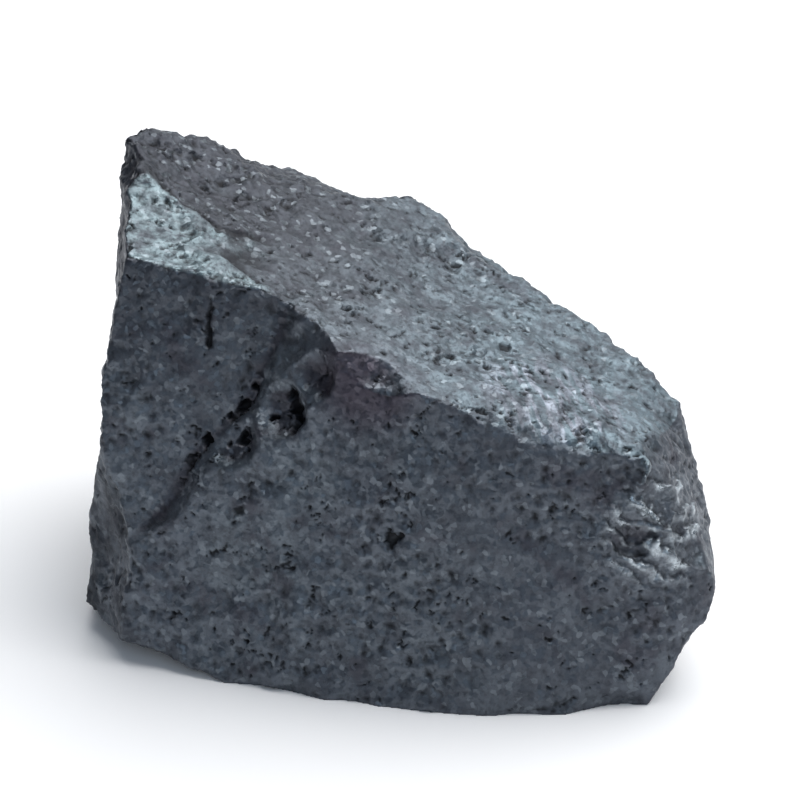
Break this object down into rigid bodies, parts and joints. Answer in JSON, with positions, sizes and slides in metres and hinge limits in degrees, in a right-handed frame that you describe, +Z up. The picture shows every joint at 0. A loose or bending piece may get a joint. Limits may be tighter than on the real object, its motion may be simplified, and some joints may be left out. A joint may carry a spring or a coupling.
{
  "type": "raw hematite stone",
  "caption": "Rough broken lump of dark steel-grey hematite ore with a sloping top face, a bevel, a gouged ledge and chipped rims, lying on a flat break.",
  "frame": {"origin": "middle of the box round the stone, at its flat foot", "axes": "+Z up from the foot, +X along the long side towards the low end, -Y out of the large steep front face"},
  "size_m": [0.0378, 0.0302, 0.026],
  "materials": {
    "hematite_stone": "raw broken surface with a dull metallic sheen"
  },
  "bodies": {
    "root": {"hematite_stone": "hematite_stone"}
  },
  "joints": []
}
